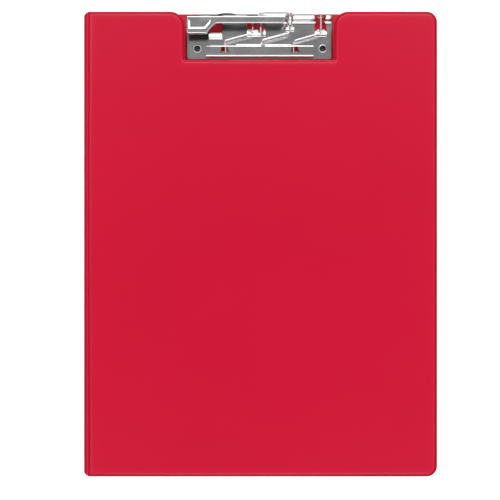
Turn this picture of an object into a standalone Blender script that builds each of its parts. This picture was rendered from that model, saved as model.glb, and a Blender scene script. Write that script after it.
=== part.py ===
"""A4 clipboard folder: foil-covered back board, spine and front cover, with a lever clip riveted
to the back board. The cover is notched round the clip. Closed, lying on its back board.

Lengths are in millimetres and are scaled to metres where a mesh is made.
X runs across the folder, Y towards the clip, Z up. Z = 0 is the outside of the back board.
"""

import math

import bmesh
import bpy
from mathutils import Matrix, Vector

MM = 0.001

# Boards
BOARD_LEFT, BOARD_RIGHT = -117.0, 119.9
BOARD_BOTTOM, BOARD_TOP = -158.9, 156.4
BACK_TOP = 157.7
BOARD_T = 3.0
FOIL_T = 0.35
SEAM_W = 0.5
LAYER_GAP = 0.05
CORNER_R = 7.0

# Closed thickness and the spine
FOLDER_T = 18.0
SPINE_T = 2.4
SPINE_OUT_X = -120.0
SPINE_Z0, SPINE_Z1 = 2.9, 15.1
SPINE_END_INSET = 0.7
HINGE_X = -118.2
HINGE_Z_BACK = 2.4
HINGE_Z_COVER = FOLDER_T - HINGE_Z_BACK
WEB_T = 0.5

# Notch in the cover round the clip
NOTCH_X0, NOTCH_X1 = -51.3, 49.9
NOTCH_Y = 123.9
NOTCH_INNER_R = 1.0
NOTCH_OUTER_R = 10.0

# Clip base plate
PLATE_X0, PLATE_X1 = -50.4, 49.5
PLATE_Y0 = 126.6
PLATE_T = 0.8
PLATE_Z = BOARD_T + LAYER_GAP
PLATE_TOP = PLATE_Z + PLATE_T
PLATE_CORNER = 1.6
FLANGE_BEND_Y = 150.3
FLANGE_BEND_R = 3.0
FLANGE_LEAN = 80.0
FLANGE_X0 = -41.5
TONGUE_LEAN = 80.0
BARREL_TONGUE_LEAN = 84.0
RIM_Z = 13.2

# Linkage: three parallel cranks turning about Y
PIVOT_Z = 10.0
PIN_Z = 5.9
CRANK_REACH = 18.6
LEVER_PIVOT_X = 20.5
LEFT_PIVOT_X = -5.15
RIGHT_PIVOT_X = 41.55
CRANK_WIRE_R = 0.75
SPRING_WIRE_R = 0.6
RUNNING = 0.1
PIN_END_Y = 130.6

# Clamp bar
BAR_X0, BAR_X1 = -37.2, 36.6
BAR_FRONT_Y, BAR_REAR_Y = 127.2, 135.3
BAR_TOP = 7.7
BAR_FOOT = PLATE_TOP + 0.3
BAR_T = 0.7
LIP_X0, LIP_X1 = -16.4, 21.3

# Lever
LEVER_TOP = 17.8
LEVER_FOOT = 13.8
LEVER_T = 0.7
BARREL_R = 1.7
BARREL_Y0, BARREL_Y1 = 147.9, 154.6

# Semi-tubular rivets
EYELET_X = (-43.4, 43.2)
EYELET_Y = 133.6
EYELET_BORE_R = 2.1
EYELET_TUBE_R = 2.5
EYELET_FLOOR_Z = 1.1
EYELET_STEPS = 32


for old in list(bpy.data.objects):
    bpy.data.objects.remove(old, do_unlink=True)

scene = bpy.context.scene
parts = bpy.data.collections.new("clipboard_folder")
scene.collection.children.link(parts)
helpers = bpy.data.collections.new("cutters")
scene.collection.children.link(helpers)


def material(name, colour, roughness, metallic=0.0):
    made = bpy.data.materials.new(name)
    made.use_nodes = True
    shader = made.node_tree.nodes["Principled BSDF"]
    shader.inputs["Base Color"].default_value = (*colour, 1.0)
    shader.inputs["Roughness"].default_value = roughness
    shader.inputs["Metallic"].default_value = metallic
    made.diffuse_color = (*colour, 1.0)
    return made


RED_FOIL = material("red_foil", (0.68, 0.014, 0.044), 0.42)
RED_LINING = material("red_lining", (0.60, 0.012, 0.038), 0.5)
GREYBOARD = material("greyboard", (0.33, 0.30, 0.26), 0.9)
NICKEL_SHEET = material("nickel_sheet", (0.62, 0.61, 0.60), 0.3, 1.0)
NICKEL_WIRE = material("nickel_wire", (0.68, 0.67, 0.66), 0.22, 1.0)
NICKEL_RIVET = material("nickel_rivet", (0.66, 0.65, 0.64), 0.25, 1.0)


def finish(mesh, name, paint, smooth_angle=None):
    obj = bpy.data.objects.new(name, mesh)
    parts.objects.link(obj)
    if paint:
        mesh.materials.append(paint)
    if smooth_angle:
        mesh.shade_smooth()
        mesh.set_sharp_from_angle(angle=math.radians(smooth_angle))
    return obj


def mesh_from(name, bm):
    bmesh.ops.recalc_face_normals(bm, faces=bm.faces)
    mesh = bpy.data.meshes.new(name)
    bm.to_mesh(mesh)
    bm.free()
    return mesh


def outline(corners, steps=6):
    """Points and inward normals round a polygon given anticlockwise as (x, y, corner radius)."""
    found = []
    count = len(corners)
    for i, (x, y, r) in enumerate(corners):
        here = Vector((x, y))
        before = Vector(corners[i - 1][:2])
        after = Vector(corners[(i + 1) % count][:2])
        came = (here - before).normalized()
        goes = (after - here).normalized()
        n0 = Vector((-came.y, came.x))
        n1 = Vector((-goes.y, goes.x))
        turn = came.x * goes.y - came.y * goes.x
        if r == 0 or abs(turn) < 1e-6:
            found.append((here, (n0 + n1) / (1 + n0.dot(n1))))
            continue
        half = math.acos(max(-1.0, min(1.0, came.dot(goes)))) / 2
        side = 1 if turn > 0 else -1
        centre = here - came * (r * math.tan(half)) + n0 * (r * side)
        start = -n0 * side
        for k in range(steps + 1):
            angle = side * 2 * half * k / steps
            arm = Matrix.Rotation(angle, 2) @ start
            found.append((centre + arm * r, -arm * side))
    return found


def ring(shape, inset, height, place):
    return [place(p.x + n.x * inset, p.y + n.y * inset, height) for p, n in shape]


def stacked(name, rings, paint, smooth_angle=None):
    """One closed solid through successive rings of points, capped at both ends."""
    bm = bmesh.new()
    loops = [[bm.verts.new(Vector(p) * MM) for p in points] for points in rings]
    for low, high in zip(loops, loops[1:]):
        for i in range(len(low)):
            j = (i + 1) % len(low)
            bm.faces.new((low[i], low[j], high[j], high[i]))
    bm.faces.new(loops[0])
    bm.faces.new(loops[-1])
    return finish(mesh_from(name, bm), name, paint, smooth_angle)


def prism(name, polygon, axis, start, end, paint=None, smooth_angle=None):
    """A polygon extruded along an axis. The polygon is (y, z), (x, z) or (x, y)."""
    place = {
        "X": lambda a, b, t: (t, a, b),
        "Y": lambda a, b, t: (a, t, b),
        "Z": lambda a, b, t: (a, b, t),
    }[axis]
    rings = [[place(a, b, t) for a, b in polygon] for t in (start, end)]
    return stacked(name, rings, paint, smooth_angle)


def lathe(name, profile, origin, axis, steps, paint=None, smooth_angle=40):
    """A closed (radius, height) profile turned about an axis through origin."""
    turn = Vector((0, 0, 1)).rotation_difference(Vector(axis)).to_matrix()
    bm = bmesh.new()
    rows = []
    for k in range(steps):
        a = 2 * math.pi * k / steps
        row = [turn @ Vector((r * math.cos(a), r * math.sin(a), h)) for r, h in profile]
        rows.append([bm.verts.new((Vector(origin) + p) * MM) for p in row])
    for k in range(steps):
        this, following = rows[k], rows[(k + 1) % steps]
        for i in range(len(profile)):
            j = (i + 1) % len(profile)
            bm.faces.new((this[i], this[j], following[j], following[i]))
    return finish(mesh_from(name, bm), name, paint, smooth_angle)


def rod(name, radius, start, end, steps=24, paint=None):
    """A solid cylinder between two points."""
    start, end = Vector(start), Vector(end)
    turn = Vector((0, 0, 1)).rotation_difference((end - start).normalized()).to_matrix()
    rings = []
    for base in (start, end):
        points = []
        for k in range(steps):
            a = 2 * math.pi * k / steps
            points.append(base + turn @ Vector((radius * math.cos(a), radius * math.sin(a), 0)))
        rings.append(points)
    return stacked(name, rings, paint, 40)


def combine(target, others, operation):
    """Booleans baked in turn, with each cutter kept as a wireframe helper."""
    for other in others:
        parts.objects.unlink(other)
        helpers.objects.link(other)
        other.hide_render = True
        other.display_type = "WIRE"
        step = target.modifiers.new(other.name, "BOOLEAN")
        step.operation = operation
        step.solver = "EXACT"
        step.object = other
    return target


def bake(target, smooth_angle=None):
    """Replaces an object's mesh by its evaluated one."""
    graph = bpy.context.evaluated_depsgraph_get()
    baked = bpy.data.meshes.new_from_object(target.evaluated_get(graph))
    target.modifiers.clear()
    target.data = baked
    if smooth_angle:
        baked.shade_smooth()
        baked.set_sharp_from_angle(angle=math.radians(smooth_angle))
    return target


def rounded_path(points, bends, steps=6):
    """A polyline with each inner corner replaced by an arc of its bend radius."""
    points = [Vector(p) for p in points]
    path = [points[0]]
    for before, here, after, bend in zip(points, points[1:], points[2:], bends):
        came = (here - before).normalized()
        goes = (after - here).normalized()
        angle = came.angle(goes)
        cut = bend * math.tan(angle / 2)
        axis = came.cross(goes).normalized()
        inward = axis.cross(came)
        centre = here - came * cut + inward * bend
        for k in range(steps + 1):
            turned = Matrix.Rotation(angle * k / steps, 3, axis) @ (-inward * bend)
            path.append(centre + turned)
    path.append(points[-1])
    return path


def wire(name, points, radius, bends, paint):
    """A round wire along a bent path, with one bend radius for each inner corner."""
    curve = bpy.data.curves.new(name, "CURVE")
    curve.dimensions = "3D"
    curve.bevel_depth = radius * MM
    curve.bevel_resolution = 2
    curve.use_fill_caps = True
    path = rounded_path(points, bends)
    spline = curve.splines.new("POLY")
    spline.points.add(len(path) - 1)
    for slot, p in zip(spline.points, path):
        slot.co = (*(p * MM), 1.0)
    made = bpy.data.objects.new(name + "_curve", curve)
    parts.objects.link(made)
    graph = bpy.context.evaluated_depsgraph_get()
    bm = bmesh.new()
    bm.from_mesh(bpy.data.meshes.new_from_object(made.evaluated_get(graph)))
    bmesh.ops.remove_doubles(bm, verts=bm.verts, dist=1e-6)
    bpy.data.objects.remove(made, do_unlink=True)
    return finish(mesh_from(name, bm), name, paint, 50)


def pivot(name, location, parent=None):
    """An empty on a joint's axis, which the moving pieces hang from."""
    empty = bpy.data.objects.new(name, None)
    parts.objects.link(empty)
    empty.empty_display_size = 0.01
    empty.location = Vector(location) * MM
    if parent:
        empty.parent = parent
        bpy.context.view_layer.update()
        empty.matrix_parent_inverse = parent.matrix_world.inverted()
    bpy.context.view_layer.update()
    return empty


def hang(empty, *objects):
    for obj in objects:
        obj.parent = empty
        obj.matrix_parent_inverse = empty.matrix_world.inverted()


# ---------------------------------------------------------------- boards

def board_layers(prefix, shape, place, thickness):
    """Lining, greyboard core and formed outer foil of one board. Height 0 is the inner face."""
    seam_low = FOIL_T + LAYER_GAP
    seam_top = seam_low + FOIL_T
    roll = thickness - seam_top
    flat = SEAM_W + roll
    steps = 5
    arc = [math.pi / 2 * k / steps for k in range(steps + 1)]
    lining = stacked(
        prefix + "_lining",
        [ring(shape, 0.0, 0.0, place), ring(shape, 0.0, FOIL_T, place)],
        RED_LINING,
        30,
    )
    outside = [(0.0, seam_low), (0.0, seam_top)]
    outside += [(flat - roll * math.cos(a), seam_top + roll * math.sin(a)) for a in arc]
    hollow = roll - FOIL_T
    inside = [(SEAM_W + FOIL_T, seam_low)]
    inside += [(flat - hollow * math.cos(a), seam_top + hollow * math.sin(a)) for a in arc]
    profile = list(reversed(outside)) + inside
    foil = stacked(
        prefix + "_foil", [ring(shape, d, h, place) for d, h in profile], RED_FOIL, 50
    )
    fill = hollow - 0.1
    body = [(flat - fill, seam_low + 0.02)]
    body += [(flat - fill * math.cos(a), seam_top + fill * math.sin(a)) for a in arc[::2] + arc[-1:]]
    core = stacked(prefix + "_core", [ring(shape, d, h, place) for d, h in body], GREYBOARD, 50)
    return core, foil, lining


back_shape = outline([
    (BOARD_LEFT, BOARD_BOTTOM, 0),
    (BOARD_RIGHT, BOARD_BOTTOM, CORNER_R),
    (BOARD_RIGHT, BACK_TOP, CORNER_R),
    (BOARD_LEFT, BACK_TOP, 0),
])
cover_shape = outline([
    (BOARD_LEFT, BOARD_BOTTOM, 0),
    (BOARD_RIGHT, BOARD_BOTTOM, CORNER_R),
    (BOARD_RIGHT, BOARD_TOP, CORNER_R),
    (NOTCH_X1, BOARD_TOP, NOTCH_OUTER_R),
    (NOTCH_X1, NOTCH_Y, NOTCH_INNER_R),
    (NOTCH_X0, NOTCH_Y, NOTCH_INNER_R),
    (NOTCH_X0, BOARD_TOP, NOTCH_OUTER_R),
    (BOARD_LEFT, BOARD_TOP, 0),
])
spine_shape = outline([
    (BOARD_BOTTOM + SPINE_END_INSET, SPINE_Z0, 0),
    (BOARD_TOP - SPINE_END_INSET, SPINE_Z0, 0),
    (BOARD_TOP - SPINE_END_INSET, SPINE_Z1, 0),
    (BOARD_BOTTOM + SPINE_END_INSET, SPINE_Z1, 0),
])

back_core, back_foil, back_lining = board_layers(
    "back", back_shape, lambda a, b, h: (a, b, BOARD_T - h), BOARD_T
)
cover_core, cover_foil, cover_lining = board_layers(
    "cover", cover_shape, lambda a, b, h: (a, b, FOLDER_T - BOARD_T + h), BOARD_T
)
spine_core, spine_foil, spine_lining = board_layers(
    "spine", spine_shape, lambda a, b, h: (SPINE_OUT_X + SPINE_T - h, a, b), SPINE_T
)


def hinge_web(name, mirrored):
    """The welded foil strip that bends between the spine and a board."""
    run = [(-117.2, 2.42), (-117.45, 2.28), (-117.75, 2.2), (-118.03, 2.35), (-118.15, 2.78)]
    run = [Vector(p) for p in run]
    left, right = [], []
    for i, p in enumerate(run):
        along = (run[min(i + 1, len(run) - 1)] - run[max(i - 1, 0)]).normalized()
        across = Vector((-along.y, along.x)) * WEB_T / 2
        left.append(p + across)
        right.append(p - across)
    polygon = [(p.x, p.y) for p in left + right[::-1]]
    if mirrored:
        polygon = [(x, FOLDER_T - z) for x, z in polygon]
    ends = (BOARD_BOTTOM + SPINE_END_INSET, BOARD_TOP - SPINE_END_INSET)
    return prism(name, polygon, "Y", *ends, RED_FOIL, 50)


hinge_web_back = hinge_web("hinge_web_back", False)
hinge_web_cover = hinge_web("hinge_web_cover", True)

for layer, name in ((back_core, "core"), (back_foil, "foil"), (back_lining, "lining")):
    holes = []
    for x, side in zip(EYELET_X, ("left", "right")):
        wide = name == "foil"
        holes.append(rod(
            f"hole_{name}_{side}",
            EYELET_TUBE_R + (0.8 if wide else RUNNING),
            (x, EYELET_Y, -1.0),
            (x, EYELET_Y, 5.0),
        ))
        if name == "core":
            holes.append(rod(f"recess_{side}", EYELET_TUBE_R + 0.8, (x, EYELET_Y, -1.0), (x, EYELET_Y, 0.7)))
    combine(layer, holes, "DIFFERENCE")


# ---------------------------------------------------------------- clip: base plate

def bent_strip(root_y, radius, angle, rim_z, start_y, square=False, thickness=PLATE_T, z=PLATE_Z):
    """Profile of a strip that runs flat towards +Y and then bends up, as (y, z)."""
    steps = 6
    turns = [math.radians(angle) * k / steps for k in range(steps + 1)]
    centre_z = z + thickness + radius
    lean = Vector((math.cos(turns[-1]), math.sin(turns[-1])))
    inner = [Vector((root_y + radius * math.sin(t), centre_z - radius * math.cos(t))) for t in turns]
    wide = radius + thickness
    outer = [Vector((root_y + wide * math.sin(t), centre_z - wide * math.cos(t))) for t in turns]
    rise = (rim_z - inner[-1].y) / lean.y
    inner.append(inner[-1] + lean * rise)
    outer.append(outer[-1] + lean * (rise if square else (rim_z - outer[-1].y) / lean.y))
    run = [Vector((start_y, z))] + outer + inner[::-1] + [Vector((start_y, z + thickness))]
    return [(p.x, p.y) for p in run]


def arc_points(cx, cz, r, a0, a1, steps=10):
    turn = [math.radians(a0 + (a1 - a0) * k / steps) for k in range(steps + 1)]
    return [(cx + r * math.cos(t), cz + r * math.sin(t)) for t in turn]


def box(name, low, high, paint=None):
    polygon = [(low[0], low[1]), (high[0], low[1]), (high[0], high[1]), (low[0], high[1])]
    return prism(name, polygon, "Z", low[2], high[2], paint)


def tab(name, x0, x1, root_y, radius, lean, rim_z, tip_r):
    """A tongue bent up out of the plate, with a rounded tip."""
    polygon = bent_strip(root_y, radius, lean, rim_z, root_y - 1.0)
    tongue = prism(name, polygon, "X", x0, x1)
    above = [(x0 - 1, rim_z + 2), (x0 - 1, rim_z - tip_r)]
    above += arc_points(x0 + tip_r, rim_z - tip_r, tip_r, 180, 90, 5)
    above += arc_points(x1 - tip_r, rim_z - tip_r, tip_r, 90, 0, 5)
    above += [(x1 + 1, rim_z - tip_r), (x1 + 1, rim_z + 2)]
    combine(tongue, [prism(name + "_tip", above, "Y", root_y - 2, root_y + 8)], "DIFFERENCE")
    return bake(tongue)


base_plate = prism(
    "base_plate",
    bent_strip(FLANGE_BEND_Y, FLANGE_BEND_R, FLANGE_LEAN, 16.0, PLATE_Y0),
    "X",
    PLATE_X0,
    PLATE_X1,
    NICKEL_SHEET,
)

EAR_X, EAR_HALF, EAR_H = -22.7, 6.0, 2.0
GAP_X0, GAP_X1, GAP_Z = -1.7, 22.6, 3.9
FLAP_LEAN, FLAP_END_Z = 40.0, 8.5
NOTCH_X, NOTCH_R, NOTCH_Z = 41.2, 3.75, 12.4
ear_r = (EAR_HALF ** 2 + EAR_H ** 2) / (2 * EAR_H)
ear_a = math.degrees(math.asin(EAR_HALF / ear_r))
notch_a = math.degrees(math.asin((RIM_Z - NOTCH_Z) / NOTCH_R))
rim = [(-60, 30), (-60, RIM_Z)]
rim += arc_points(EAR_X, RIM_Z + EAR_H - ear_r, ear_r, 90 + ear_a, 90 - ear_a)
rim += [(GAP_X0, RIM_Z)] + arc_points(GAP_X0 + 1.2, GAP_Z + 1.2, 1.2, 180, 270, 4)
rim += arc_points(GAP_X1 - 1.2, GAP_Z + 1.2, 1.2, 270, 360, 4) + [(GAP_X1, RIM_Z)]
rim += arc_points(NOTCH_X, NOTCH_Z, NOTCH_R, 180 - notch_a, 360 + notch_a, 12)
rim += [(60, RIM_Z), (60, 30)]
plate_cuts = [
    prism("rim_line", rim, "Y", FLANGE_BEND_Y - 1, FLANGE_BEND_Y + 12),
    prism(
        "flange_end",
        [(-60, FLANGE_BEND_Y - 0.4), (FLANGE_X0 - 1.5, FLANGE_BEND_Y - 0.4)]
        + arc_points(FLANGE_X0 - 1.5, FLANGE_BEND_Y + 1.1, 1.5, 270, 360, 4)
        + [(FLANGE_X0, 170), (-60, 170)],
        "Z",
        0,
        30,
    ),
]
for x, name in ((PLATE_X0, "left"), (PLATE_X1, "right")):
    side = 1 if name == "left" else -1
    nib = [(x - side, PLATE_Y0 - 1), (x + side * PLATE_CORNER, PLATE_Y0 - 1)]
    bow = arc_points(0, 0, PLATE_CORNER, 270, 180, 5)
    nib += [(x + side * (PLATE_CORNER + a), PLATE_Y0 + PLATE_CORNER + b) for a, b in bow]
    nib += [(x - side, PLATE_Y0 + PLATE_CORNER)]
    plate_cuts.append(prism("plate_corner_" + name, nib, "Z", 0, 6))

WINDOW_TOP = 152.3
TAB0 = (-35.3, -26.1, 139.9)
TAB1 = (-9.1, 3.7, 141.7)
TAB2 = (17.6, 23.3, 145.1)
TAB3 = (37.4, 45.8, 141.7)
for i, (x0, x1, root) in enumerate((TAB0, TAB1)):
    plate_cuts.append(box(f"window_{i}", (x0 + 0.05, root, 0), (x1 - 0.05, WINDOW_TOP, 7.5)))
plate_cuts.append(box("window_2", (TAB2[0] + 0.05, TAB2[2], 0), (TAB2[1] - 0.05, 149.2, 5.5)))
arch_r = (TAB3[1] - TAB3[0]) / 2 - 0.05
arch = [(TAB3[0] + 0.05, TAB3[2]), (TAB3[1] - 0.05, TAB3[2])]
arch += arc_points((TAB3[0] + TAB3[1]) / 2, 153.2 - arch_r, arch_r, 0, 180, 12)
plate_cuts.append(prism("window_3", arch, "Z", 0, 7.5))

HOOKS = {
    "left": LEFT_PIVOT_X - CRANK_REACH,
    "crank": LEVER_PIVOT_X - CRANK_REACH,
    "right": RIGHT_PIVOT_X - CRANK_REACH,
}
SLOT_OFFSET = {"left": -0.8, "right": 0.9}
ELBOW_OFFSET = {"left": -0.8, "crank": -1.0, "right": 0.5}
for name in ("left", "right"):
    x = HOOKS[name] + SLOT_OFFSET[name]
    plate_cuts.append(box("plate_slot_" + name, (x - 2.6, 131.9, 0), (x + 2.6, 135.4, 6)))
for x, name in zip(EYELET_X, ("left", "right")):
    plate_cuts.append(rod(
        "plate_hole_" + name, EYELET_TUBE_R + RUNNING, (x, EYELET_Y, 0), (x, EYELET_Y, 6)
    ))
combine(base_plate, plate_cuts, "DIFFERENCE")
bake(base_plate)

tongues = [
    tab("tongue_0", *TAB0, 1.2, TONGUE_LEAN, 11.8, 1.2),
    tab("tongue_1", *TAB1, 1.2, TONGUE_LEAN, 12.6, 1.0),
    tab("tongue_2", *TAB2, 1.0, BARREL_TONGUE_LEAN, 12.7, 2.4),
    tab("tongue_3", *TAB3, 1.2, TONGUE_LEAN, 12.6, 3.2),
]
combine(base_plate, tongues, "UNION")
bake(base_plate)
flap = bent_strip(FLANGE_BEND_Y, FLANGE_BEND_R, FLAP_LEAN, FLAP_END_Z, FLANGE_BEND_Y - 1, True)
combine(base_plate, [prism("flap", flap, "X", GAP_X0 + 0.4, GAP_X1 - 0.4)], "UNION")
seat_x = 0.3
combine(base_plate, [
    rod("bore_left", SPRING_WIRE_R + RUNNING, (LEFT_PIVOT_X, 142, PIVOT_Z), (LEFT_PIVOT_X, 158, PIVOT_Z), 20),
    rod("bore_lever", CRANK_WIRE_R + RUNNING, (LEVER_PIVOT_X, 142, PIVOT_Z), (LEVER_PIVOT_X, 150, PIVOT_Z), 20),
    rod("bore_right", SPRING_WIRE_R + RUNNING, (RIGHT_PIVOT_X, 142, PIVOT_Z), (RIGHT_PIVOT_X, 150, PIVOT_Z), 20),
    box("crank_seat", (seat_x - 1.7, 143, 8.6), (seat_x + 1.7, 148, 20)),
], "DIFFERENCE")
bake(base_plate, 35)


# ---------------------------------------------------------------- clip: clamp bar

bar_outer = [(BAR_REAR_Y, BAR_FOOT), (BAR_REAR_Y, BAR_TOP - 0.8)]
bar_outer += arc_points(BAR_REAR_Y - 0.8, BAR_TOP - 0.8, 0.8, 0, 90, 4)
bar_outer += [(128.6, BAR_TOP), (127.36, BAR_TOP - 0.42), (127.25, BAR_TOP - 0.55)]
bar_outer += [(BAR_FRONT_Y + 0.05, BAR_TOP - 0.9), (BAR_FRONT_Y, BAR_TOP - 1.3), (BAR_FRONT_Y, BAR_FOOT)]
bar_inner = [(BAR_FRONT_Y + BAR_T, BAR_FOOT), (BAR_FRONT_Y + BAR_T, BAR_TOP - 1.4)]
bar_inner += [(128.05, BAR_TOP - 1.1), (128.6, BAR_TOP - BAR_T)]
bar_inner += [(BAR_REAR_Y - BAR_T - 0.2, BAR_TOP - BAR_T)]
bar_inner += [(BAR_REAR_Y - BAR_T, BAR_TOP - BAR_T - 0.2), (BAR_REAR_Y - BAR_T, BAR_FOOT)]
clamp_bar = prism("clamp_bar", bar_outer + bar_inner, "X", BAR_X0, BAR_X1, NICKEL_SHEET)
lip = [(134.5, 7.2), (135.2, 6.9), (136.1, 7.5), (136.15, 7.9), (135.9, 8.1), (135.3, 7.8)]
combine(clamp_bar, [prism("lip", lip, "X", LIP_X0, LIP_X1)], "UNION")
bake(clamp_bar)
bar_cuts = []
for name, r in (("left", SPRING_WIRE_R), ("crank", CRANK_WIRE_R), ("right", SPRING_WIRE_R)):
    x = HOOKS[name]
    bar_cuts.append(rod("bar_bore_" + name, r + RUNNING, (x, 133, PIN_Z), (x, 137, PIN_Z), 20))
for name in ("left", "right"):
    x = HOOKS[name] + SLOT_OFFSET[name]
    slot = [(x - 2.3, 134.4), (x - 2.3, 131.9), (x - 3.0, 131.9), (x - 3.0, 130.2)]
    slot += [(x + 3.0, 130.2), (x + 3.0, 131.9), (x + 2.3, 131.9), (x + 2.3, 134.4)]
    bar_cuts.append(prism("bar_slot_" + name, slot[::-1], "Z", 6.3, 10))
x = HOOKS["crank"]
bar_cuts.append(box("lip_notch", (x - 1.25, 133.9, 6.95), (x + 1.25, 138, 12)))
combine(clamp_bar, bar_cuts, "DIFFERENCE")
bake(clamp_bar, 35)


# ---------------------------------------------------------------- clip: lever

LEVER_X0, LEVER_Y1 = -50.1, 153.3
lever_shape = outline([
    (LEVER_X0, 141.4, 1.0),
    (-36.9, 141.4, 1.4),
    (-30.0, 148.3, 1.4),
    (15.0, 148.3, 1.1),
    (18.5, LEVER_Y1, 1.1),
    (LEVER_X0, LEVER_Y1, 1.0),
], 4)
fold = 0.9
bend = [math.pi / 2 * k / 4 for k in range(5)]
lever_rings = [(fold - fold * math.sin(a), LEVER_TOP - fold + fold * math.cos(a)) for a in bend]
lever_rings += [(0.0, LEVER_FOOT), (LEVER_T, LEVER_FOOT), (LEVER_T, LEVER_TOP - LEVER_T - 0.25)]
lever_rings += [(LEVER_T + 0.25, LEVER_TOP - LEVER_T)]
lever = stacked(
    "lever", [ring(lever_shape, d, h, lambda a, b, c: (a, b, c)) for d, h in lever_rings], NICKEL_SHEET
)
strap = [(14.5, 17.15), (16.2, 17.15), (16.7, 16.9), (17.0, 16.3), (19.2, 10.7), (19.8, 10.9)]
strap += [(19.75, 11.4), (17.6, 16.5), (17.2, 17.3), (16.6, 17.65), (14.5, 17.72)]
lever_bits = [prism("strap", strap, "Y", 149.6, 151.6)]
neck = BARREL_R - 0.22
barrel = [(CRANK_WIRE_R + RUNNING - 0.02, BARREL_Y0), (1.35, BARREL_Y0)]
third = (BARREL_Y1 - BARREL_Y0) / 3
for k in range(3):
    y0 = BARREL_Y0 + k * third
    barrel += [(neck, y0 + 0.12), (BARREL_R, y0 + 0.45), (BARREL_R, y0 + third - 0.45), (neck, y0 + third - 0.12)]
barrel += [(1.35, BARREL_Y1), (CRANK_WIRE_R + RUNNING - 0.02, BARREL_Y1)]
barrel = [(r, y - BARREL_Y0) for r, y in barrel]
lever_bits.append(lathe("barrel", barrel, (LEVER_PIVOT_X, BARREL_Y0, PIVOT_Z), (0, 1, 0), 24))
combine(lever, lever_bits, "UNION")
bake(lever)
panel = outline([
    (-48.8, 144.3, 0.6),
    (-37.4, 144.3, 0.9),
    (-33.6, 148.4, 0.9),
    (-33.6, 150.9, 0.6),
    (-48.8, 150.9, 0.6),
], 3)
emboss = stacked("emboss", [
    ring(panel, 1.25, LEVER_TOP - 0.33, lambda a, b, c: (a, b, c)),
    ring(panel, 0.05, LEVER_TOP - 0.0, lambda a, b, c: (a, b, c)),
    ring(panel, -0.9, LEVER_TOP + 1.0, lambda a, b, c: (a, b, c)),
], None)
combine(lever, [emboss], "DIFFERENCE")
bake(lever, 35)


# ---------------------------------------------------------------- clip: wires

loop_y = 158.4 - CRANK_WIRE_R
crank_wire = wire("crank_wire", [
    (seat_x, 142.9, PIVOT_Z),
    (seat_x, loop_y, PIVOT_Z),
    (LEVER_PIVOT_X, loop_y, PIVOT_Z),
    (LEVER_PIVOT_X, 143.6, PIVOT_Z),
    (HOOKS["crank"] + ELBOW_OFFSET["crank"], 138.4, PIVOT_Z - 0.5),
    (HOOKS["crank"], 137.1, PIN_Z),
    (HOOKS["crank"], PIN_END_Y, PIN_Z),
], CRANK_WIRE_R, (3.4, 3.4, 1.7, 1.2, 1.0), NICKEL_WIRE)


def spring_wire(name, x, hook_x, elbow_x):
    return wire(name, [
        (x, 156.3, PIVOT_Z),
        (x, 143.2, PIVOT_Z),
        (elbow_x, 138.1, PIVOT_Z - 0.5),
        (hook_x, 136.9, PIN_Z),
        (hook_x, PIN_END_Y, PIN_Z),
    ], SPRING_WIRE_R, (1.3, 1.1, 1.0), NICKEL_WIRE)


spring_wire_left = spring_wire(
    "spring_wire_left", LEFT_PIVOT_X, HOOKS["left"], HOOKS["left"] + ELBOW_OFFSET["left"]
)
spring_wire_right = spring_wire(
    "spring_wire_right", RIGHT_PIVOT_X, HOOKS["right"], HOOKS["right"] + ELBOW_OFFSET["right"]
)


# ---------------------------------------------------------------- semi-tubular rivets

def eyelet(name, x):
    """A semi-tubular rivet: a rolled head on the plate, a blind bore and a flat foot in the back."""
    t, b = PLATE_TOP, EYELET_BORE_R
    profile = [(0.7, EYELET_FLOOR_Z), (b - 0.1, EYELET_FLOOR_Z), (b, EYELET_FLOOR_Z + 0.1)]
    profile += [(b, t + 0.45), (b + 0.2, t + 0.72), (b + 0.5, t + 0.75)]
    profile += [(b + 0.75, t + 0.55), (b + 0.85, t + 0.25), (b + 0.8, t + 0.06), (EYELET_TUBE_R, t + 0.06)]
    profile += [(EYELET_TUBE_R, 0.64), (b + 0.9, 0.64), (b + 1.0, 0.4), (b + 0.85, 0.15), (b + 0.4, 0.06)]
    rings = []
    for r, z in profile:
        turns = [2 * math.pi * k / EYELET_STEPS for k in range(EYELET_STEPS)]
        rings.append([(x + r * math.cos(a), EYELET_Y + r * math.sin(a), z) for a in turns])
    return stacked(name, rings, NICKEL_RIVET, 40)


eyelet_left = eyelet("eyelet_left", EYELET_X[0])
eyelet_right = eyelet("eyelet_right", EYELET_X[1])


# ---------------------------------------------------------------- joints

spine_axis = pivot("spine_axis", (HINGE_X, 0, HINGE_Z_BACK))
cover_axis = pivot("cover_axis", (HINGE_X, 0, HINGE_Z_COVER), spine_axis)
lever_axis = pivot("lever_axis", (LEVER_PIVOT_X, 150, PIVOT_Z))
spring_axis_left = pivot("spring_axis_left", (LEFT_PIVOT_X, 150, PIVOT_Z))
spring_axis_right = pivot("spring_axis_right", (RIGHT_PIVOT_X, 150, PIVOT_Z))
bar_axis = pivot("bar_axis", (HOOKS["crank"], 134, PIN_Z), lever_axis)
hang(spine_axis, spine_core, spine_foil, spine_lining, hinge_web_back, hinge_web_cover)
hang(cover_axis, cover_core, cover_foil, cover_lining)
hang(lever_axis, lever, crank_wire)
hang(spring_axis_left, spring_wire_left)
hang(spring_axis_right, spring_wire_right)
hang(bar_axis, clamp_bar)
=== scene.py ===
"""Looks for the closed A4 clipboard folder with its lever clip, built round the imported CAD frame.

Lengths below are in millimetres and are scaled to metres where a mesh is made.
"""

import math

import bmesh
import bpy
from mathutils import Matrix, Vector


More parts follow.
